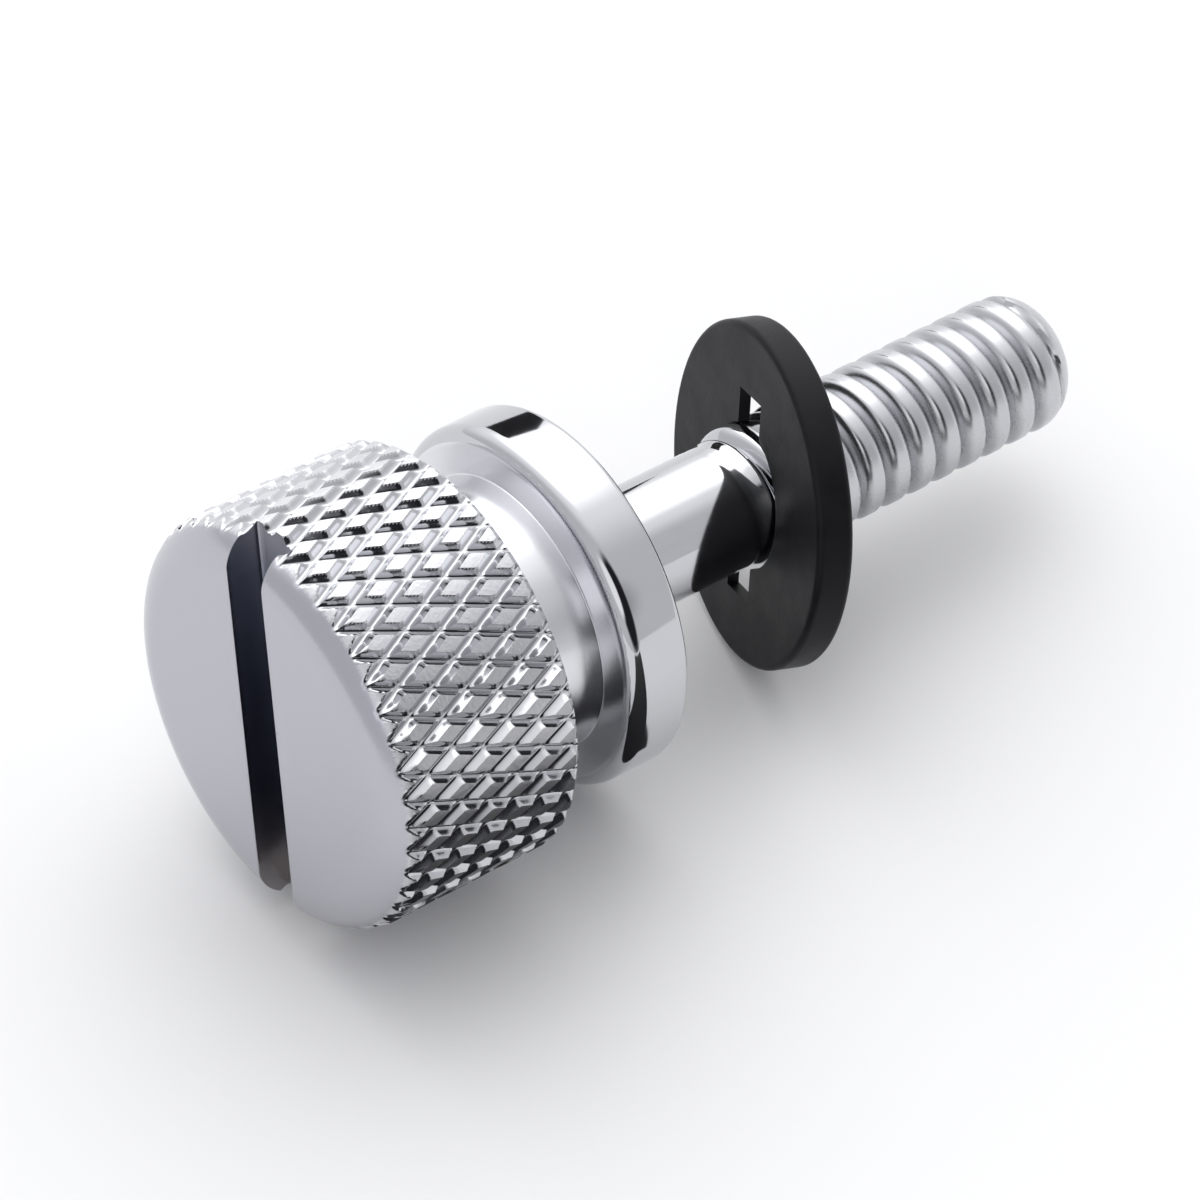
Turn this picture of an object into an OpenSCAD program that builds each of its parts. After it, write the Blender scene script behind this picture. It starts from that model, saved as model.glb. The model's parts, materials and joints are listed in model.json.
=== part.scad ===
// Dash screw: a slotted, diamond-knurled thumb screw with a collar, and a cupped retaining
// washer that leans where the thread begins. All sizes are in millimetres.

/* [Head] */
// Diameter over the crests of the knurl
head_d = 14.04; // [13:0.02:15]
// Length from the slotted face to the back of the head
head_len = 7.2; // [6:0.1:8.4]
// Radius of the rounded rim round the slotted face
front_round = 1.45; // [0.9:0.05:1.9]
// Bevel on the back rim of the head
back_bevel = 0.25; // [0.1:0.05:0.5]

/* [Slot] */
// Width of the driver slot
slot_w = 1.8; // [1.2:0.05:2.4]
// Depth of the driver slot below the face
slot_depth = 1.32; // [0.8:0.02:2]
// Turn of the slot from the upright
slot_turn = -12.7; // [-90:0.1:90]

/* [Knurl] */
// Diamonds in one row round the head
knurl_n = 44; // [36:1:52]
// Spacing along the axis from one row of groove crossings to the next
row_step = 1.07; // [0.9:0.01:1.3]
// Distance of the first row of crossings behind the face
row_first = 1.53; // [1:0.01:2]
// Depth of the grooves below the crests
groove_depth = 0.26; // [0.15:0.01:0.35]
// Share of each diamond left flat on top
top_share = 0.56; // [0.4:0.02:0.7]
// Turn of the knurl from the upright
knurl_turn = -2.6; // [-8:0.1:8]

/* [Collar] */
// Diameter of the collar
collar_d = 12.35; // [11:0.05:13.5]
// Distance from the slotted face to the front of the collar
collar_at = 9.9; // [9:0.02:11]
// Thickness of the collar
collar_t = 2.26; // [1.6:0.02:2.6]
// Rounding of the collar's front edge
collar_front = 0.55; // [0.2:0.05:0.75]
// Rounding of the collar's back edge
collar_edge = 0.25; // [0.1:0.05:0.4]
// Diameter of the neck between the head and the collar
neck_d = 9.3; // [8:0.1:10]
// Radius of the small cove between the neck and the collar
neck_cove = 0.15; // [0.1:0.05:0.4]

/* [Shank and thread] */
// Diameter of the plain shank
shank_d = 4.2; // [3.8:0.02:4.3]
// Distance from the slotted face to the first turn of the thread
thread_at = 19.3; // [18.6:0.1:20]
// Diameter of the incomplete first turns under the washer
runout_d = 4.36; // [4.26:0.02:4.5]
// Distance from the slotted face to the full thread
full_at = 22.5; // [22.2:0.1:23.5]
// Outside diameter of the full thread
thread_d = 4.7; // [4.62:0.01:4.8]
// Overall length from the slotted face to the tip
screw_len = 31.9; // [29:0.1:35]
// Radius of the rounded tip
tip_round = 1.4; // [0.8:0.05:1.8]

/* [Retaining washer] */
// Outside diameter of the washer
washer_d = 11.4; // [10.6:0.05:12]
// Height of the washer's turned rim
washer_h = 1.25; // [1:0.05:1.5]
// Thickness of the thin web round the bore
web_t = 0.4; // [0.3:0.02:0.5]
// Inside diameter of the turned rim
rim_in_d = 10.4; // [9.6:0.1:10.6]
// Rounding of the rim's outer edges
washer_edge = 0.2; // [0.1:0.05:0.35]
// Distance from the slotted face to the middle of the washer's front face
washer_at = 19.38; // [19:0.02:19.8]
// Lean of the washer from square to the screw
washer_lean = 18.1; // [12:0.1:19]
// Side to which the washer leans, from the upright
lean_turn = -71; // [-90:1:90]
// Gap between the bore and the incomplete thread at that lean
bore_gap = 0.03; // [0.02:0.01:0.08]
// Width of the two notches in the web
notch_w = 1.6; // [1:0.1:2]
// Reach of the notches from the middle of the washer
notch_reach = 3.5; // [3:0.1:4]
// Turn of the notches from the upright
notch_turn = -16.6; // [-90:0.1:90]

/* [Hidden] */
$fn = 96;
crest_r = head_d / 2;
groove_r = crest_r - groove_depth;
collar_r = collar_d / 2;
neck_r = neck_d / 2;
washer_r = washer_d / 2;
tip_flat = thread_d / 2 - tip_round;
bore_r = (runout_d + 2 * bore_gap + web_t * sin(washer_lean)) / (2 * cos(washer_lean));
// Crest overrun of the turning profile, so that rim and knurl cross at a clear angle
over = 0.03;
// Rows of groove crossings, starting ahead of the face and ending behind the head
row_zero = row_first - 3 * row_step;
row_last = ceil((head_len - row_zero) / row_step) + 2;
cell = 360 / knurl_n;
crossings = (row_last + 1) * knurl_n;
top_corners = 4 * (row_last - 1) * knurl_n;

// Heights of the lowest points of head and washer under the axis, at a given drop of the tip
function normal_rise(t) = -sin(washer_lean) * cos(lean_turn) * cos(t) - cos(washer_lean) * sin(t);
function head_low(t) = -(head_len - back_bevel) * sin(t) - crest_r * cos(t);
function rim_low(u) = (u < 0 ? washer_h - washer_edge : washer_edge) * u
    - (washer_r - washer_edge) * sqrt(1 - u * u) - washer_edge;
function washer_low(t) = -washer_at * sin(t) + rim_low(normal_rise(t));
function settle(lo, hi, n) = let (mid = (lo + hi) / 2)
    n == 0 ? mid
    : head_low(mid) < washer_low(mid) ? settle(mid, hi, n - 1)
    : settle(lo, mid, n - 1);

// Drop of the tip when the screw lies on the back rim of its head and on the washer
drop = settle(0, 20, 30);
x_face = front_round * cos(drop) - (crest_r + over - front_round) * sin(drop) - front_round;
x_tip = (screw_len - tip_round) * cos(drop) + tip_flat * sin(drop) + tip_round;

// Numbers of the knurl's points: groove crossings first, then the corners of the diamonds' tops
function pit(j, k) = j * knurl_n + (k + knurl_n) % knurl_n;
function top(j, k, c) = crossings + ((j - 1) * knurl_n + k) * 4 + c;
function row_z(j) = row_zero + j * row_step;
function on_head(r, angle, z) = [r * cos(angle), r * sin(angle), z];
function pit_angle(j, k) = knurl_turn + (k + (j % 2) / 2) * cell;
function top_angle(j, k) = knurl_turn + (k + (1 - j % 2) / 2) * cell;

// Corners of one diamond's flat top in the order front, right, back, left
function top_points(j, k) = [
    on_head(crest_r, top_angle(j, k), row_z(j) - top_share * row_step),
    on_head(crest_r, top_angle(j, k) + top_share * cell / 2, row_z(j)),
    on_head(crest_r, top_angle(j, k), row_z(j) + top_share * row_step),
    on_head(crest_r, top_angle(j, k) - top_share * cell / 2, row_z(j))
];

// One diamond: its flat top and its four sloping flanks down to the grooves
function diamond(j, k) = let (
    front = pit(j - 1, k),
    back = pit(j + 1, k),
    left = pit(j, k - j % 2),
    right = pit(j, k + 1 - j % 2),
    tf = top(j, k, 0),
    tr = top(j, k, 1),
    tb = top(j, k, 2),
    tl = top(j, k, 3)
) [
    [tb, tr, tl],
    [tr, tf, tl],
    [tf, tr, right],
    [tf, right, front],
    [front, left, tl],
    [front, tl, tf],
    [back, right, tr],
    [back, tr, tb],
    [tb, tl, left],
    [tb, left, back]
];

module knurled_drum() {
    end = row_last - 1;
    front_apex = crossings + top_corners;
    points = concat(
        [for (j = [0:row_last]) for (k = [0:knurl_n - 1]) on_head(groove_r, pit_angle(j, k), row_z(j))],
        [for (j = [1:end]) for (k = [0:knurl_n - 1]) each top_points(j, k)],
        [[0, 0, row_z(0)], [0, 0, row_z(row_last)]]
    );
    faces = concat(
        [for (j = [1:end]) for (k = [0:knurl_n - 1]) each diamond(j, k)],
        [for (k = [0:knurl_n - 1]) [pit(0, k), pit(1, k), front_apex]],
        [for (k = [0:knurl_n - 1]) [pit(1, k - 1), pit(0, k), front_apex]],
        [for (k = [0:knurl_n - 1]) [pit(end, k + 1 - end % 2), pit(row_last, k), front_apex + 1]],
        [for (k = [0:knurl_n - 1]) [pit(row_last, k), pit(end, k - end % 2), front_apex + 1]]
    );
    polyhedron(points = points, faces = faces, convexity = 6);
}

// Turning profile of the head: rounded front rim, bevelled back rim
module head_limit() {
    reach = crest_r + 0.4;
    rotate_extrude() {
        square([crest_r + over - front_round, head_len]);
        intersection() {
            translate([crest_r + over - front_round, front_round]) circle(r = front_round);
            square([reach, head_len]);
        }
        polygon([
            [0, front_round],
            [reach, front_round],
            [reach, head_len - back_bevel - 0.4],
            [crest_r - back_bevel, head_len],
            [0, head_len]
        ]);
    }
}

// Half outline of a disc with rounded front and back edges
module disc_outline(r, h, front, back) {
    square([r - front, h / 2]);
    translate([0, h / 2]) square([r - back, h / 2]);
    translate([0, front]) square([r, h - front - back]);
    translate([r - front, front]) circle(r = front);
    translate([r - back, h - back]) circle(r = back);
}

// Neck, collar, shank and thread turned about the axis, rooted inside the head
module turned_body() {
    rotate_extrude() {
        translate([0, head_len - 2]) square([neck_r, collar_at - head_len + 3]);
        difference() {
            translate([0, collar_at - neck_cove]) square([neck_r + neck_cove, neck_cove + 0.5]);
            translate([neck_r + neck_cove, collar_at - neck_cove]) circle(r = neck_cove);
        }
        translate([0, collar_at]) disc_outline(collar_r, collar_t, collar_front, collar_edge);
        translate([0, collar_at + 1]) square([shank_d / 2, thread_at - collar_at]);
        polygon([
            [0, thread_at - 0.4],
            [shank_d / 2, thread_at - 0.1],
            [runout_d / 2, thread_at + 0.2],
            [runout_d / 2, full_at],
            [thread_d / 2, full_at],
            [thread_d / 2, screw_len - tip_round],
            [0, screw_len - tip_round]
        ]);
        intersection() {
            translate([tip_flat, screw_len - tip_round]) circle(r = tip_round);
            translate([0, screw_len - 2 * tip_round]) square([thread_d / 2, 2 * tip_round]);
        }
        translate([0, screw_len - tip_round - 1]) square([tip_flat, tip_round + 1]);
    }
}

// Lays the screw's axis down, slotted face at low x, tip dropped until head and washer both touch z = 0
module lie() {
    translate([-(x_face + x_tip) / 2, 0, -head_low(drop)])
        rotate([0, 90 + drop, 0])
            rotate([0, 0, 180])
                children();
}

module screw() {
    color([0.80, 0.81, 0.83])
        lie()
            difference() {
                union() {
                    intersection() {
                        knurled_drum();
                        head_limit();
                    }
                    turned_body();
                }
                rotate([0, 0, slot_turn])
                    translate([-head_d, -slot_w / 2, -1])
                        cube([2 * head_d, slot_w, 1 + slot_depth]);
            }
}

module retaining_washer() {
    color([0.17, 0.17, 0.18])
        lie()
            translate([0, 0, washer_at])
                rotate([0, 0, lean_turn])
                    rotate([0, -washer_lean, 0])
                        difference() {
                            rotate_extrude()
                                difference() {
                                    disc_outline(washer_r, washer_h, washer_edge, washer_edge);
                                    translate([0, web_t]) square([rim_in_d / 2, washer_h]);
                                    translate([0, -1]) square([bore_r, washer_h + 2]);
                                }
                            rotate([0, 0, notch_turn - lean_turn])
                                translate([-notch_reach, -notch_w / 2, -1])
                                    cube([2 * notch_reach, notch_w, washer_h + 2]);
                        }
}

screw();
retaining_washer();
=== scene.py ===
"""Looks of the dash screw: a bright chrome screw with a diamond knurl and a black retaining washer."""
import json
import math

import bmesh
import bpy
import numpy as np
from mathutils import Matrix, Vector


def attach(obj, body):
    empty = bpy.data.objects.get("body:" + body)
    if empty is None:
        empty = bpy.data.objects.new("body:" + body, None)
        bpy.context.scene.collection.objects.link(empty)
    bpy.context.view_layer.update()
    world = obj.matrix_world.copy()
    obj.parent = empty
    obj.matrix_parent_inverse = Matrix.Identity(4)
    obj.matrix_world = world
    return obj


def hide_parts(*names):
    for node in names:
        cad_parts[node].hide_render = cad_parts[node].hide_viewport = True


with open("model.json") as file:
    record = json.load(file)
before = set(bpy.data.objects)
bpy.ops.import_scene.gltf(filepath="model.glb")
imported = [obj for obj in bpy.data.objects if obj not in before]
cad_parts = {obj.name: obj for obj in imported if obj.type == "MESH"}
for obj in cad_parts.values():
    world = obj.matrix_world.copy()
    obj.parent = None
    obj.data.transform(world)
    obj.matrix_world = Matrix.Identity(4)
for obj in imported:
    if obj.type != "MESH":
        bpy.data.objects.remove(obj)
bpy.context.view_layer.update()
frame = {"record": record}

# Sizes in millimetres: the main ones are the part's own, the thread's form and small edges are set here
MM = 0.001
CREST_R = 7.02
HEAD_LEN = 7.2
FRONT_ROUND = 1.45
CREST_OVERRUN = 0.03
BACK_BEVEL = 0.25
SLOT_W = 1.8
SLOT_DEPTH = 1.32
SLOT_TURN = -12.7
SLOT_EDGE = 0.05
SLOT_CORNER = 0.12
SLOT_CORNER_CUT = 0.035
KNURL_N = 44
KNURL_FROM = 0.6
KNURL_STOP = 0.02
ROW_STEP = 1.07
ROW_ZERO = 1.53 - 3 * ROW_STEP
KNURL_TURN = -2.6
GROOVE_DEPTH = 0.26
GROOVE_HALVES = (0.27, 0.22)
GROOVE_SOFT = 0.5
DIAMOND_CROWN = 0.008
CROWN_REACH = 2.2
COLLAR_R = 6.175
COLLAR_AT = 9.9
COLLAR_T = 2.26
COLLAR_FRONT = 0.55
COLLAR_EDGE = 0.25
NECK_R = 4.65
NECK_FILLET = 0.15
NECK_LEAD = 0.4
NECK_COVE = 0.05
SHANK_R = 2.1
SHANK_FILLET = 0.12
SHANK_OUT = 0.16
SHANK_LEAD = 0.5
THREAD_FROM = 17.8
THREAD_LEAD = 0.4
ROOT_FULL = 20.2
CREST_FROM = 18.4
CREST_FULL = 19.6
SEAT_AT = 20.4
SEAT_DIP = 0.17
SEAT_SPREAD = 0.4
THREAD_CREST_R = 2.35
THREAD_ROOT_R = 1.92
ROOT_REACH = 0.36
PITCH = 1.0583
VALLEY_AT = 23.766
VALLEY_TURN = 127.4
SCREW_LEN = 31.9
TIP_ROUND = 1.4
TIP_FILL = 0.26
TIP_FILL_FROM = 30.2
TIP_FILL_FULL = 31.3
WASHER_R = 5.7
WASHER_H = 1.25
WASHER_WEB = 0.4
WASHER_RIM_IN = 5.2
WASHER_EDGE = 0.2
WASHER_BORE_EDGE = 0.05
WASHER_RIM_EDGE = 0.08
WASHER_COVE = 0.15
WASHER_BORE = 2.3905
WASHER_AT = 19.38
WASHER_LEAN = 18.1
LEAN_TURN = -71.0
NOTCH_W = 1.6
NOTCH_REACH = 3.5
NOTCH_TURN = -16.6
CUT_PAST = 1.0
SLOT_CUT_REACH = 9.0

# Colours, as base colours of the shaders
PLATE_DARK = (0.545, 0.55, 0.572)
PLATE_LIGHT = (0.565, 0.57, 0.592)
# Lighter plate on the diamond tops: a painted highlight
TOP_HIGHLIGHT_TONE = (0.66, 0.662, 0.685)
# Darker, bluer plate on the slotted face: painted shade
FACE_SHADE_TONE = (0.475, 0.475, 0.515)
# Paler plate on the neck and the collar's front face: painted light
NECK_LIGHT_TONE = (0.73, 0.735, 0.76)
WASHER_DARK = (0.005, 0.0048, 0.0063)
WASHER_LIGHT = (0.009, 0.0087, 0.011)
FLOOR_TONE = (0.87, 0.87, 0.87)
CARD_TONE = (0.01, 0.01, 0.012)

# Shares of the slot's length from its lower end, and the colour there: painted shade and painted reflections
# in the slot
SLOT_SHADE_ENDS = (
    (0.05, (0.36, 0.34, 0.34)),
    (0.96, (0.45, 0.45, 0.48)),
)
SLOT_SHADE_TONES = (
    (0.13, (0.27, 0.26, 0.27)),
    (0.19, (0.16, 0.165, 0.2)),
    (0.55, (0.19, 0.2, 0.24)),
    (0.85, (0.3, 0.315, 0.36)),
)

# Roughness that each zone of the plate adds
KNURL_SATIN = 0.06
TOP_SATIN = 0.28
SLOT_SATIN = 0.1
NECK_SATIN = 0.14
FACE_SATIN = 0.16
THREAD_SATIN = 0.2
THREAD_SATIN_RUN = 2

# Mesh steps, rings that only carry the mesh, and the angles past which an edge is sharp
CELL_STEPS = 20
HEAD_STEPS = KNURL_N * CELL_STEPS
STEM_STEPS = HEAD_STEPS // 8
ROW_LINE = 2 * ROW_STEP / CELL_STEPS
PITCH_STEPS = 16
WASHER_STEPS = 216
LEAD = 0.05
COVE_LEAD = 0.08
FACE_RINGS = (0.8, 2.0, 3.4, 4.6, 5.3)
RIM_LEAD = 0.12
BACK_FINE = 0.55
BACK_COARSE = 0.9
COLLAR_FRONT_RING = 5.2
COLLAR_BACK_RING = 4.0
WEB_RINGS = (2.6, 3.2, 4.0, 4.8)
SCREW_SHARP = 38
WASHER_SHARP = 35

# Frame of the screw's axis: x is up, y to the side and z from the slotted face to the tip
mounts = {mount["name"]: mount for mount in frame["record"]["mounts"]}
AXIS = np.array(mounts["thread"]["axis"])
SIDE = np.array([0.0, -1.0, 0.0])
UP = np.cross(SIDE, AXIS)
FACE_AT = np.array(mounts["driver_slot"]["pos_m"]) - SLOT_DEPTH * MM * AXIS


def placed(points):
    """Points of the screw's own frame in millimetres, as row-frame points in metres."""
    points = np.asarray(points, dtype=float) * MM
    return FACE_AT + points @ np.array([UP, SIDE, AXIS])


def ring(radius, z, steps):
    """One ring of points round the axis; the radius and z may change round it."""
    angle = np.arange(steps) * 2 * math.pi / steps
    radius = np.broadcast_to(radius, (steps,))
    z = np.broadcast_to(z, (steps,))
    return np.stack([radius * np.cos(angle), radius * np.sin(angle), z], axis=1)


class Shell:
    """Points and faces of one closed surface, put together ring by ring from front to back."""

    def __init__(self):
        self.points = []
        self.faces = []
        self.count = 0

    def add(self, points):
        start = self.count
        self.points.append(points)
        self.count += len(points)
        return np.arange(start, self.count)

    def band(self, near, far):
        after_near = np.roll(near, -1)
        after_far = np.roll(far, -1)
        self.faces += np.stack([near, after_near, after_far, far], axis=1).tolist()

    def split_band(self, near, far, rising):
        """A band of triangles, each square cut along the diagonal that its groove runs on."""
        after_near = np.roll(near, -1)
        after_far = np.roll(far, -1)
        for a, b, c, d, up in zip(near, after_near, after_far, far, rising):
            if up:
                self.faces += [[a, b, c], [a, c, d]]
            else:
                self.faces += [[a, b, d], [b, c, d]]

    def narrow(self, fine, coarse, flip):
        """A flat band from a fine ring to one with fewer points."""
        share = len(fine) // len(coarse)
        for i in range(len(coarse)):
            j = (i + 1) % len(coarse)
            row = [fine[(i * share + k) % len(fine)] for k in range(share + 1)]
            half = share // 2
            for k in range(share):
                tip = coarse[i] if k < half else coarse[j]
                self.faces.append([row[k], tip, row[k + 1]] if flip else [row[k], row[k + 1], tip])
            middle = [row[half], coarse[i], coarse[j]]
            self.faces.append(middle if flip else [row[half], coarse[j], coarse[i]])

    def cap(self, edge, middle, flip):
        after = np.roll(edge, -1)
        for a, b in zip(edge, after):
            self.faces.append([a, middle, b] if flip else [a, b, middle])

    def mesh(self, name):
        mesh = bpy.data.meshes.new(name)
        points = placed(np.concatenate(self.points))
        mesh.from_pydata(points.tolist(), [], [[int(i) for i in face] for face in self.faces])
        mesh.validate()
        mesh.update()
        return mesh


def front_limit(z):
    """Radius that the rounded front rim allows."""
    rise = np.clip(FRONT_ROUND - z, 0, FRONT_ROUND)
    return CREST_R + CREST_OVERRUN - FRONT_ROUND + np.sqrt(FRONT_ROUND ** 2 - rise ** 2)


def back_limit(z):
    """Radius that the bevelled back rim allows."""
    return CREST_R - BACK_BEVEL + HEAD_LEN - z


def groove_distances(angle, z):
    """Distance from the nearest line of the two families of grooves, in shares of their spacing."""
    cells = (angle - KNURL_TURN) * KNURL_N / 360
    along = (z - ROW_ZERO) / (2 * ROW_STEP)
    falling = cells + along
    rising = cells - along
    return np.abs(falling - np.round(falling)), np.abs(rising - np.round(rising))


def groove_share(angle, z):
    """Way up the nearest groove's flank: 0 on its bottom line, 1 and more on the diamonds' tops."""
    first, second = groove_distances(angle, z)
    return np.minimum(first / GROOVE_HALVES[0], second / GROOVE_HALVES[1])


def knurl(z):
    """Radius of the knurl round one ring: nearly flat diamonds between grooves with round bottoms."""
    angle = np.arange(HEAD_STEPS) * 360 / HEAD_STEPS
    away = groove_share(angle, z)
    reach = np.hypot(away, GROOVE_SOFT) - GROOVE_SOFT
    flank = np.clip(1 - reach / (math.hypot(1, GROOVE_SOFT) - GROOVE_SOFT), 0, 1)
    crown = np.clip(1 - away / CROWN_REACH, 0, 1) ** 2
    return CREST_R - np.maximum(GROOVE_DEPTH * flank, DIAMOND_CROWN * crown)


def leans_up(z):
    """Whether the rising grooves are the nearer ones, for the squares of the band whose middle is at z."""
    angle = (np.arange(HEAD_STEPS) + 0.5) * 360 / HEAD_STEPS
    first, second = groove_distances(angle, z)
    return second / GROOVE_HALVES[1] < first / GROOVE_HALVES[0]


def head_lines():
    """Places along the axis of the head's rings: close in the rounded rim, then on the knurl's own grid."""
    first = math.ceil((KNURL_FROM - ROW_ZERO) / ROW_LINE)
    last = math.floor((HEAD_LEN - KNURL_STOP - ROW_ZERO) / ROW_LINE)
    grid = ROW_ZERO + np.arange(first, last + 1) * ROW_LINE
    ends = math.acos(1 - grid[0] / FRONT_ROUND)
    turn = np.linspace(0, ends, 11)[1:-1]
    back = [HEAD_LEN - BACK_BEVEL, HEAD_LEN]
    return np.concatenate([FRONT_ROUND * (1 - np.cos(turn)), grid, back])


def build_head(shell):
    """Slotted face, rounded rim, knurl and back face; gives the last ring, at the neck."""
    flat_r = CREST_R + CREST_OVERRUN - FRONT_ROUND
    middle = shell.add(np.array([[0.0, 0.0, 0.0]]))[0]
    inner = [shell.add(ring(r, 0.0, STEM_STEPS)) for r in FACE_RINGS]
    shell.cap(inner[0], middle, True)
    for near, far in zip(inner, inner[1:]):
        shell.band(near, far)
    rim = shell.add(ring(flat_r - RIM_LEAD, 0.0, HEAD_STEPS))
    shell.narrow(rim, inner[-1], True)
    edge = shell.add(ring(flat_r, 0.0, HEAD_STEPS))
    shell.band(rim, edge)
    near = edge
    last = 0.0
    for z in np.sort(head_lines()):
        radius = np.minimum(knurl(z), np.minimum(front_limit(z), back_limit(z)))
        far = shell.add(ring(radius, z, HEAD_STEPS))
        shell.split_band(near, far, leans_up((last + z) / 2))
        near = far
        last = z
    back = shell.add(ring(CREST_R - BACK_FINE, HEAD_LEN, HEAD_STEPS))
    shell.band(near, back)
    coarse = shell.add(ring(CREST_R - BACK_COARSE, HEAD_LEN, STEM_STEPS))
    shell.narrow(back, coarse, False)
    return coarse


def arc(middle_r, middle_z, radius, start, end, steps):
    """Points (radius, z) of a profile's arc between two angles, in degrees from the outward direction."""
    turn = np.radians(np.linspace(start, end, steps))
    return [(middle_r + radius * math.cos(t), middle_z + radius * math.sin(t)) for t in turn]


def stem_profile():
    """Neck, collar and plain shank as (radius, z) points."""
    points = [(NECK_R + NECK_FILLET, HEAD_LEN)]
    points += arc(NECK_R + NECK_FILLET, HEAD_LEN + NECK_FILLET, NECK_FILLET, -90, -180, 5)[1:]
    points += [(NECK_R, z) for z in np.linspace(HEAD_LEN + NECK_LEAD, COLLAR_AT - NECK_COVE, 5)]
    points += arc(NECK_R + NECK_COVE, COLLAR_AT - NECK_COVE, NECK_COVE, 180, 90, 5)[1:]
    front_r = COLLAR_R - COLLAR_FRONT
    points += [(r, COLLAR_AT) for r in (NECK_R + NECK_COVE + COVE_LEAD, COLLAR_FRONT_RING, front_r - LEAD)]
    points += arc(front_r, COLLAR_AT + COLLAR_FRONT, COLLAR_FRONT, -90, 0, 15)
    edge_r = COLLAR_R - COLLAR_EDGE
    collar_end = COLLAR_AT + COLLAR_T
    points += arc(edge_r, collar_end - COLLAR_EDGE, COLLAR_EDGE, 0, 90, 9)
    points += [(edge_r - LEAD, collar_end), (COLLAR_BACK_RING, collar_end), (SHANK_R + SHANK_OUT, collar_end)]
    points += arc(SHANK_R + SHANK_FILLET, collar_end + SHANK_FILLET, SHANK_FILLET, -90, -180, 5)
    points += [(SHANK_R, z) for z in np.linspace(collar_end + SHANK_LEAD, THREAD_FROM - THREAD_LEAD, 6)]
    return points


def tip_limit(z):
    """Radius that the rounded tip allows."""
    past = np.clip(z - (SCREW_LEN - TIP_ROUND), 0, TIP_ROUND)
    return THREAD_CREST_R - TIP_ROUND + np.sqrt(TIP_ROUND ** 2 - past ** 2)


def eased(value, start, end):
    """Smooth step from 0 at start to 1 at end."""
    share = np.clip((value - start) / (end - start), 0, 1)
    return share * share * (3 - 2 * share)


def thread_radius(angle, z):
    """Radius of the thread, which grows out of the plain shank and ends in the rounded tip."""
    turns = (z - VALLEY_AT) / PITCH - (np.degrees(angle) - VALLEY_TURN) / 360
    away = np.abs(turns - np.round(turns)) * PITCH
    rise = 1 - np.clip(1 - away / ROOT_REACH, 0, 1) ** 2
    root = SHANK_R - (SHANK_R - THREAD_ROOT_R) * eased(z, THREAD_FROM, ROOT_FULL)
    root = root + TIP_FILL * eased(z, TIP_FILL_FROM, TIP_FILL_FULL)
    crest = SHANK_R + (THREAD_CREST_R - SHANK_R) * eased(z, CREST_FROM, CREST_FULL)
    # Flattened crest where the washer hangs
    side = np.clip(np.cos(angle - math.radians(LEAN_TURN)), 0, 1)
    crest = crest - SEAT_DIP * side * np.exp(-((z - SEAT_AT) / SEAT_SPREAD) ** 2)
    return np.minimum(root + (crest - root) * rise, tip_limit(z))


def build_thread(shell, near):
    """The thread on lines that follow its own helix, so that crests and roots stay sharp."""
    angle = np.arange(STEM_STEPS) * 2 * math.pi / STEM_STEPS
    tip_from = SCREW_LEN - TIP_ROUND
    zero = VALLEY_AT - PITCH * VALLEY_TURN / 360
    first = math.floor((THREAD_FROM - PITCH - zero) / PITCH * PITCH_STEPS)
    lines = math.ceil((SCREW_LEN - THREAD_FROM) / PITCH * PITCH_STEPS) + 2 * PITCH_STEPS + 1
    rows = []
    for k in range(lines):
        z = zero + PITCH * ((first + k) / PITCH_STEPS + angle / (2 * math.pi))
        z = np.clip(z, THREAD_FROM, SCREW_LEN)
        # Even steps along the tip's rounding
        past = np.clip((z - tip_from) / TIP_ROUND, 0, 1)
        z = np.where(z > tip_from, tip_from + TIP_ROUND * np.sin(past * math.pi / 2), z)
        rows.append(shell.add(ring(thread_radius(angle, z), z, STEM_STEPS)))
    shell.band(near, rows[0])
    for low, high in zip(rows, rows[1:]):
        inner = np.stack([low[:-1], low[1:], high[1:], high[:-1]], axis=1)
        shell.faces += inner.tolist()
    for k in range(lines - PITCH_STEPS - 1):
        seam = [rows[k][-1], rows[k + PITCH_STEPS][0], rows[k + PITCH_STEPS + 1][0], rows[k + 1][-1]]
        shell.faces.append(seam)
    return rows


def merged(mesh):
    """Joins the points that the clipped helix puts in one place, and turns all faces outward."""
    work = bmesh.new()
    work.from_mesh(mesh)
    bmesh.ops.remove_doubles(work, verts=work.verts, dist=2e-7)
    bmesh.ops.dissolve_degenerate(work, edges=work.edges, dist=1e-8)
    bmesh.ops.recalc_face_normals(work, faces=work.faces)
    work.to_mesh(mesh)
    work.free()
    mesh.update()


def linked(name, mesh):
    piece = bpy.data.objects.new(name, mesh)
    bpy.context.scene.collection.objects.link(piece)
    return piece


def prism(name, outline, reach, turn, lay):
    """A cutter: an outline of (across, z) points drawn along a line across the axis."""
    shell = Shell()
    c, s = math.cos(math.radians(turn)), math.sin(math.radians(turn))
    ends = []
    for along in (-reach, reach):
        points = np.array([[along * c - a * s, along * s + a * c, z] for a, z in outline])
        ends.append(shell.add(lay(points)))
    shell.band(ends[0], ends[1])
    shell.faces.append(ends[0].tolist()[::-1])
    shell.faces.append(ends[1].tolist())
    mesh = shell.mesh(name)
    merged(mesh)
    return linked(name, mesh)


def carve(piece, cutter):
    """Takes the cutter out of the piece and deletes the cutter."""
    cut = piece.modifiers.new("cut", "BOOLEAN")
    cut.operation = "DIFFERENCE"
    cut.solver = "EXACT"
    cut.object = cutter
    bpy.context.view_layer.update()
    done = piece.evaluated_get(bpy.context.evaluated_depsgraph_get())
    mesh = bpy.data.meshes.new_from_object(done)
    piece.modifiers.clear()
    old = piece.data
    piece.data = mesh
    bpy.data.meshes.remove(old)
    spare = cutter.data
    bpy.data.objects.remove(cutter)
    bpy.data.meshes.remove(spare)


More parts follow.
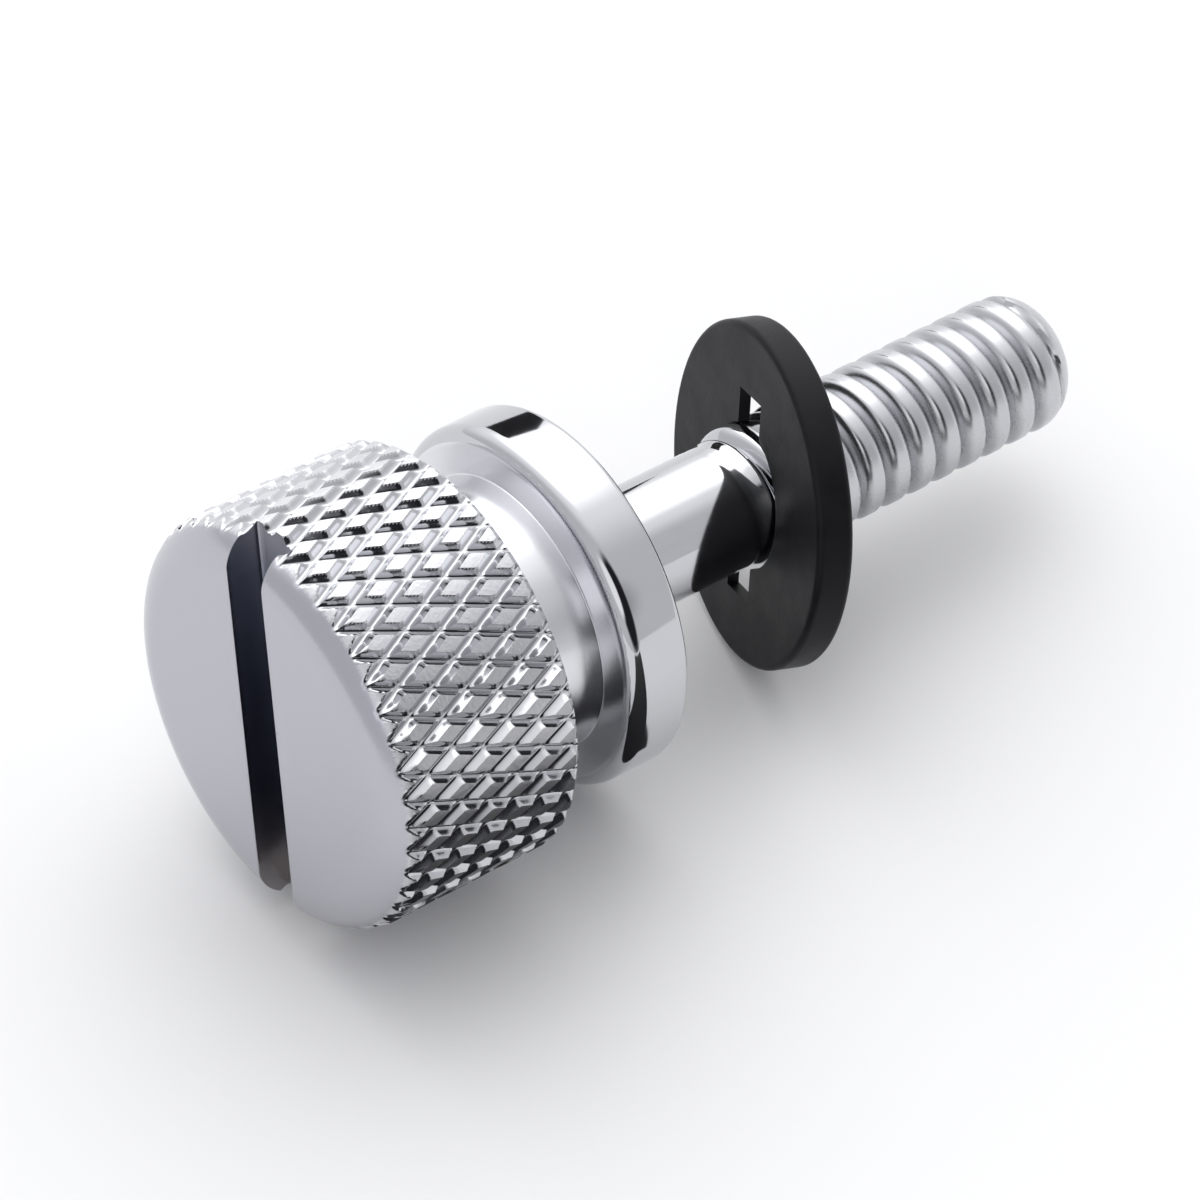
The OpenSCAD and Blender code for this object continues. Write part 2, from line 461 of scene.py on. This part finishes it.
def slot_outline():
    """Section of the driver slot: flat floor with small corners, upright walls and softened top edges."""
    half = SLOT_W / 2
    side = [
        (half - SLOT_CORNER, SLOT_DEPTH),
        (half - SLOT_CORNER_CUT, SLOT_DEPTH - SLOT_CORNER_CUT),
        (half, SLOT_DEPTH - SLOT_CORNER),
    ]
    for t in np.linspace(0, 90, 5):
        a = math.radians(t)
        side.append((half + SLOT_EDGE * (1 - math.cos(a)), SLOT_EDGE * (1 - math.sin(a))))
    side.append((half + SLOT_EDGE, -CUT_PAST))
    return side + [(-a, z) for a, z in reversed(side)]


def build_screw():
    shell = Shell()
    near = build_head(shell)
    for radius, z in stem_profile():
        far = shell.add(ring(radius, z, STEM_STEPS))
        shell.band(near, far)
        near = far
    rows = build_thread(shell, near)
    middle = shell.add(np.array([[0.0, 0.0, SCREW_LEN]]))[0]
    shell.cap(rows[-1], middle, False)
    mesh = shell.mesh("screw_body_mesh")
    merged(mesh)
    piece = linked("chrome_screw", mesh)
    cutter = prism("slot_cutter", slot_outline(), SLOT_CUT_REACH, SLOT_TURN, lambda points: points)
    carve(piece, cutter)
    return piece


def leaned(points):
    """Points of the washer's own frame, turned and set on the screw at its lean."""
    lean = math.radians(-WASHER_LEAN)
    turn = math.radians(LEAN_TURN)
    x, y, z = np.asarray(points, dtype=float).T
    x, z = x * math.cos(lean) + z * math.sin(lean), -x * math.sin(lean) + z * math.cos(lean)
    x, y = x * math.cos(turn) - y * math.sin(turn), x * math.sin(turn) + y * math.cos(turn)
    return np.stack([x, y, z + WASHER_AT], axis=1)


def washer_profile():
    """Closed section of the cup washer as (radius, z) points, from the bore's front edge round."""
    edge_r = WASHER_R - WASHER_EDGE
    soft = WASHER_BORE_EDGE
    points = arc(WASHER_BORE + soft, soft, soft, 180, 270, 4)
    points += [(r, 0.0) for r in (*WEB_RINGS, edge_r - LEAD)]
    points += arc(edge_r, WASHER_EDGE, WASHER_EDGE, -90, 0, 8)
    points += [(WASHER_R, z) for z in np.linspace(WASHER_EDGE + LEAD, WASHER_H - WASHER_EDGE - LEAD, 4)]
    points += arc(edge_r, WASHER_H - WASHER_EDGE, WASHER_EDGE, 0, 90, 8)
    points += arc(WASHER_RIM_IN + WASHER_RIM_EDGE, WASHER_H - WASHER_RIM_EDGE, WASHER_RIM_EDGE, 90, 180, 5)
    points += arc(WASHER_RIM_IN - WASHER_COVE, WASHER_WEB + WASHER_COVE, WASHER_COVE, 0, -90, 5)
    points += [(r, WASHER_WEB) for r in reversed(WEB_RINGS)]
    points += arc(WASHER_BORE + soft, WASHER_WEB - soft, soft, 90, 180, 4)
    return points


def build_washer():
    shell = Shell()
    rings = [shell.add(leaned(ring(r, z, WASHER_STEPS))) for r, z in washer_profile()]
    for near, far in zip(rings, rings[1:] + rings[:1]):
        shell.band(near, far)
    mesh = shell.mesh("washer_mesh")
    merged(mesh)
    piece = linked("cup_washer", mesh)
    half = NOTCH_W / 2
    top = WASHER_H + CUT_PAST
    outline = [(half, -CUT_PAST), (half, top), (-half, top), (-half, -CUT_PAST)]
    cutter = prism("notch_cutter", outline, NOTCH_REACH, NOTCH_TURN - LEAN_TURN, leaned)
    carve(piece, cutter)
    return piece


def new_material(name):
    material = bpy.data.materials.new(name)
    material.use_nodes = True
    return material, material.node_tree.nodes, material.node_tree.links


def noise(nodes, links, place, scale, detail, roughness):
    node = nodes.new("ShaderNodeTexNoise")
    node.inputs["Scale"].default_value = scale
    node.inputs["Detail"].default_value = detail
    node.inputs["Roughness"].default_value = roughness
    links.new(place.outputs["Object"], node.inputs["Vector"])
    return node


def spread(nodes, links, source, low, high, to_low, to_high):
    """Maps a pattern's range onto the range that a socket takes."""
    node = nodes.new("ShaderNodeMapRange")
    node.inputs["From Min"].default_value = low
    node.inputs["From Max"].default_value = high
    node.inputs["To Min"].default_value = to_low
    node.inputs["To Max"].default_value = to_high
    links.new(source, node.inputs["Value"])
    return node.outputs["Result"]


def two_tones(nodes, links, source, dark, light):
    ramp = nodes.new("ShaderNodeValToRGB")
    ramp.color_ramp.elements[0].position = 0.3
    ramp.color_ramp.elements[0].color = (*dark, 1)
    ramp.color_ramp.elements[1].position = 0.7
    ramp.color_ramp.elements[1].color = (*light, 1)
    links.new(source, ramp.inputs["Fac"])
    return ramp.outputs["Color"]


def bump(nodes, links, source, height, distance):
    node = nodes.new("ShaderNodeBump")
    node.inputs["Strength"].default_value = height
    node.inputs["Distance"].default_value = distance
    links.new(source, node.inputs["Height"])
    return node


def mixed(nodes, links, share, first, second):
    """Colour between two, by a pattern or a mask."""
    node = nodes.new("ShaderNodeMix")
    node.data_type = "RGBA"
    links.new(share, node.inputs["Factor"])
    for name, colour in (("A", first), ("B", second)):
        socket = [s for s in node.inputs if s.name == name and s.type == "RGBA"][0]
        if isinstance(colour, tuple):
            socket.default_value = (*colour, 1)
        else:
            links.new(colour, socket)
    return [s for s in node.outputs if s.type == "RGBA"][0]


def summed(nodes, links, first, second):
    node = nodes.new("ShaderNodeMath")
    node.operation = "ADD"
    links.new(first, node.inputs[0])
    links.new(second, node.inputs[1])
    return node.outputs[0]


def slot_painted_shade(nodes, links, place):
    """Painted shade and reflections in the slot, from a slate upper end to a nearly black lower half with a
    paler run-out.
    """
    turn = math.radians(SLOT_TURN)
    along = math.cos(turn) * UP + math.sin(turn) * SIDE
    dot = nodes.new("ShaderNodeVectorMath")
    dot.operation = "DOT_PRODUCT"
    dot.inputs[1].default_value = along
    links.new(place.outputs["Object"], dot.inputs[0])
    middle = float(FACE_AT @ along)
    reach = CREST_R * MM
    share = spread(nodes, links, dot.outputs["Value"], middle - reach, middle + reach, 0, 1)
    ramp = nodes.new("ShaderNodeValToRGB")
    stops = ramp.color_ramp.elements
    for stop, (position, colour) in zip(stops, SLOT_SHADE_ENDS):
        stop.position = position
        stop.color = (*colour, 1)
    for position, colour in SLOT_SHADE_TONES:
        stops.new(position).color = (*colour, 1)
    links.new(share, ramp.inputs["Fac"])
    return ramp.outputs["Color"]


def mask(nodes, name):
    """A zone that mark_faces notes on the mesh."""
    node = nodes.new("ShaderNodeAttribute")
    node.attribute_name = name
    return node.outputs["Fac"]


def chrome_material():
    """Bright chromium plate: mirror gloss, a fine haze and satin zones, with painted shade in the slot and on
    the face, painted light on the neck and a painted highlight on the worn diamond tops.
    """
    material, nodes, links = new_material("bright_chrome")
    shader = nodes["Principled BSDF"]
    place = nodes.new("ShaderNodeTexCoord")
    haze = noise(nodes, links, place, 900, 4, 0.6)
    waves = noise(nodes, links, place, 260, 2, 0.5)
    worn = mask(nodes, "worn")
    grain = noise(nodes, links, place, 8000, 3, 0.6)
    shader.inputs["Metallic"].default_value = 1.0
    plate = two_tones(nodes, links, haze.outputs["Fac"], PLATE_DARK, PLATE_LIGHT)
    # Diamond tops: their grain and satin are wear, their lighter plate is a painted highlight
    plate = mixed(nodes, links, worn, plate, TOP_HIGHLIGHT_TONE)
    # Slotted face: painted shade in its colour
    plate = mixed(nodes, links, mask(nodes, "face"), plate, FACE_SHADE_TONE)
    # Neck and collar's front face: painted light in their colour
    plate = mixed(nodes, links, mask(nodes, "neck"), plate, NECK_LIGHT_TONE)
    # Slot: painted shade and painted reflections along its length
    plate = mixed(nodes, links, mask(nodes, "slot_shade"), plate, slot_painted_shade(nodes, links, place))
    links.new(plate, shader.inputs["Base Color"])
    gloss = spread(nodes, links, haze.outputs["Fac"], 0.3, 0.7, 0.05, 0.09)
    links.new(summed(nodes, links, gloss, mask(nodes, "satin")), shader.inputs["Roughness"])
    gentle = bump(nodes, links, waves.outputs["Fac"], 0.25, 0.00002)
    rough = bump(nodes, links, grain.outputs["Fac"], 0.0, 0.000015)
    links.new(worn, rough.inputs["Strength"])
    links.new(gentle.outputs["Normal"], rough.inputs["Normal"])
    links.new(rough.outputs["Normal"], shader.inputs["Normal"])
    return material


def mark_faces(piece):
    """Notes on each face how satin its plate is, and whether it is a diamond's top, face, neck or slot."""
    mesh = piece.data
    count = len(mesh.polygons)
    middles = np.empty(count * 3)
    mesh.polygons.foreach_get("center", middles)
    x, y, z = (((middles.reshape(-1, 3) - FACE_AT) / MM) @ np.array([UP, SIDE, AXIS]).T).T
    turn = math.radians(SLOT_TURN)
    across = np.abs(y * math.cos(turn) - x * math.sin(turn))
    # The slot's faces get painted shade and painted reflections in their colour
    in_slot = (across < SLOT_W / 2 + 0.02) & (z > 0.05) & (z < SLOT_DEPTH + 0.02)
    radius = np.hypot(x, y)
    on_knurl = (radius > CREST_R - GROOVE_DEPTH - 0.02) & (z > KNURL_FROM) & (z < HEAD_LEN - 0.01)
    # Diamond tops: worn grain and satin, plus a lighter plate that is a painted highlight
    worn = on_knurl & (groove_share(np.degrees(np.arctan2(y, x)), z) > 0.95)
    on_neck = (z > HEAD_LEN - 0.01) & (z < COLLAR_AT + 0.01)
    on_face = (z < FRONT_ROUND) & ~on_knurl & ~in_slot
    satin = KNURL_SATIN * on_knurl + TOP_SATIN * worn + SLOT_SATIN * in_slot + NECK_SATIN * on_neck
    satin = satin + THREAD_SATIN * eased(z, CREST_FULL, CREST_FULL + THREAD_SATIN_RUN)
    satin = satin + FACE_SATIN * on_face
    layers = {"satin": satin, "worn": worn, "slot_shade": in_slot, "face": on_face, "neck": on_neck}
    for name, values in layers.items():
        layer = mesh.attributes.new(name, "FLOAT", "FACE")
        layer.data.foreach_set("value", np.ascontiguousarray(values, dtype=np.float32))


def washer_material():
    """Blackened steel: satin charcoal with a fine grain and slightly greyer worn patches."""
    material, nodes, links = new_material("black_washer")
    shader = nodes["Principled BSDF"]
    place = nodes.new("ShaderNodeTexCoord")
    grain = noise(nodes, links, place, 9000, 3, 0.6)
    patches = noise(nodes, links, place, 700, 4, 0.6)
    shader.inputs["Metallic"].default_value = 0.0
    tone = two_tones(nodes, links, patches.outputs["Fac"], WASHER_DARK, WASHER_LIGHT)
    links.new(tone, shader.inputs["Base Color"])
    shader.inputs["Specular IOR Level"].default_value = 0.15
    satin = spread(nodes, links, patches.outputs["Fac"], 0.3, 0.7, 0.38, 0.5)
    links.new(satin, shader.inputs["Roughness"])
    pits = bump(nodes, links, grain.outputs["Fac"], 0.3, 0.00002)
    links.new(pits.outputs["Normal"], shader.inputs["Normal"])
    return material


def floor_material():
    material, nodes, links = new_material("pale_floor")
    shader = nodes["Principled BSDF"]
    shader.inputs["Base Color"].default_value = (*FLOOR_TONE, 1)
    shader.inputs["Roughness"].default_value = 0.8
    shader.inputs["Specular IOR Level"].default_value = 0.0
    return material


def dark_material():
    material, nodes, links = new_material("dark_card")
    shader = nodes["Principled BSDF"]
    shader.inputs["Base Color"].default_value = (*CARD_TONE, 1)
    shader.inputs["Roughness"].default_value = 0.9
    return material


def dress(piece, material, body, node, sharp):
    piece.data.materials.clear()
    piece.data.materials.append(material)
    piece.data.shade_smooth()
    piece.data.set_sharp_from_angle(angle=math.radians(sharp))
    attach(piece, body)
    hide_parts(node)


# View of the photograph
CAMERA_AT = Vector((-0.10887328, -0.13542898, 0.19290023))
CAMERA_RIGHT = Vector((0.78574404, -0.61855178, 0.00005))
CAMERA_UP = Vector((0.45599827, 0.57931204, 0.67562056))
CAMERA_AHEAD = Vector((0.41793766, 0.53084014, -0.73724953))
LENS = 240.0
SENSOR = 36.0

# Stage: half the floor's width, the upright card behind the collar and the lying card in front, a painted
# shadow of the floor that shows only in the metal
FLOOR_REACH = 2.0
COLLAR_PLACE = Vector((-0.0045, 0.0, 0.0125))
CARD_FAR = 0.05
CARD_SIDES = (-13, -3)
CARD_LOW = Vector((0, 0, -0.001))
CARD_HIGH = Vector((0, 0, 0.0165))
# Dark sheet for the shaded floor in front of the object: a painted shadow
FRONT_SHADE_CARD = [
    (-0.134, -0.3, 0.0001),
    (0.064, -0.3, 0.0001),
    (-0.003, -0.0065, 0.0001),
    (-0.014, -0.0065, 0.0001),
]

# Studio: the walls' colour, then soft patches as azimuth, elevation, inner and outer angle, and colour
WALLS = (0.74, 0.745, 0.77)
PATCHES = (
    (-5, 50, 36, 66, (1.25, 1.25, 1.27)),
    (-5, 50, 16, 40, (2.5, 2.5, 2.52)),
    (144, 28, 24, 35, (0.02, 0.02, 0.025)),
    (178, 34, 12, 20, (1.25, 1.25, 1.28)),
)


def build_camera():
    data = bpy.data.cameras.new("photo_view")
    data.lens = LENS
    data.sensor_width = SENSOR
    data.clip_start = 0.01
    data.clip_end = 20.0
    camera = bpy.data.objects.new("photo_view", data)
    columns = Matrix((CAMERA_RIGHT, CAMERA_UP, -CAMERA_AHEAD)).transposed()
    camera.matrix_world = Matrix.Translation(CAMERA_AT) @ columns.to_4x4()
    bpy.context.scene.collection.objects.link(camera)
    bpy.context.scene.camera = camera


def direction(azimuth, elevation):
    """Direction from the object; azimuth 0 is away from the camera and 90 is to its right."""
    ahead = Vector((CAMERA_AHEAD.x, CAMERA_AHEAD.y, 0)).normalized()
    right = Vector((CAMERA_RIGHT.x, CAMERA_RIGHT.y, 0)).normalized()
    a, e = math.radians(azimuth), math.radians(elevation)
    flat = ahead * math.cos(a) + right * math.sin(a)
    return flat * math.cos(e) + Vector((0, 0, math.sin(e)))


def sheet(name, corners, material):
    """A flat stage piece, such as the floor or a card beside the set."""
    mesh = bpy.data.meshes.new(name)
    mesh.from_pydata([tuple(c) for c in corners], [], [(0, 1, 2, 3)])
    mesh.materials.append(material)
    piece = linked(name, mesh)
    return piece


def dark_card(name, corners):
    """A dark card that only shows in the metal."""
    card = sheet(name, corners, dark_material())
    card.visible_camera = False
    card.visible_diffuse = False
    card.visible_shadow = False
    return card


def lobe(nodes, links, place, azimuth, elevation, inner, outer):
    """Share of a soft round patch of the surroundings: 1 inside the inner angle, 0 past the outer one."""
    dot = nodes.new("ShaderNodeVectorMath")
    dot.operation = "DOT_PRODUCT"
    dot.inputs[1].default_value = direction(azimuth, elevation)
    links.new(place.outputs["Generated"], dot.inputs[0])
    share = nodes.new("ShaderNodeMapRange")
    share.interpolation_type = "SMOOTHSTEP"
    share.inputs["From Min"].default_value = math.cos(math.radians(outer))
    share.inputs["From Max"].default_value = math.cos(math.radians(inner))
    links.new(dot.outputs["Value"], share.inputs["Value"])
    return share.outputs["Result"]


def build_world():
    """Pale studio with a broad soft light above and beyond the object, and a dim room beside the camera."""
    world = bpy.data.worlds.new("studio")
    world.use_nodes = True
    nodes, links = world.node_tree.nodes, world.node_tree.links
    place = nodes.new("ShaderNodeTexCoord")
    colour = WALLS
    for azimuth, elevation, inner, outer, tone in PATCHES:
        share = lobe(nodes, links, place, azimuth, elevation, inner, outer)
        colour = mixed(nodes, links, share, colour, tone)
    links.new(colour, nodes["Background"].inputs["Color"])
    bpy.context.scene.world = world


def build_stage():
    wide = FLOOR_REACH
    sheet("floor", [(-wide, -wide, 0), (wide, -wide, 0), (wide, wide, 0), (-wide, wide, 0)], floor_material())
    left, right = (COLLAR_PLACE + direction(side, 0) * CARD_FAR for side in CARD_SIDES)
    dark_card("back_card", [left + CARD_LOW, right + CARD_LOW, right + CARD_HIGH, left + CARD_HIGH])
    # Dark sheet in front for the shaded floor: painted shadow
    dark_card("front_shade_card", FRONT_SHADE_CARD)
    build_world()
    bpy.context.scene.view_settings.view_transform = "Standard"


screw = build_screw()
mark_faces(screw)
dress(screw, chrome_material(), "screw_body", "screw", SCREW_SHARP)
dress(build_washer(), washer_material(), "washer_body", "retaining_washer", WASHER_SHARP)
build_camera()
build_stage()
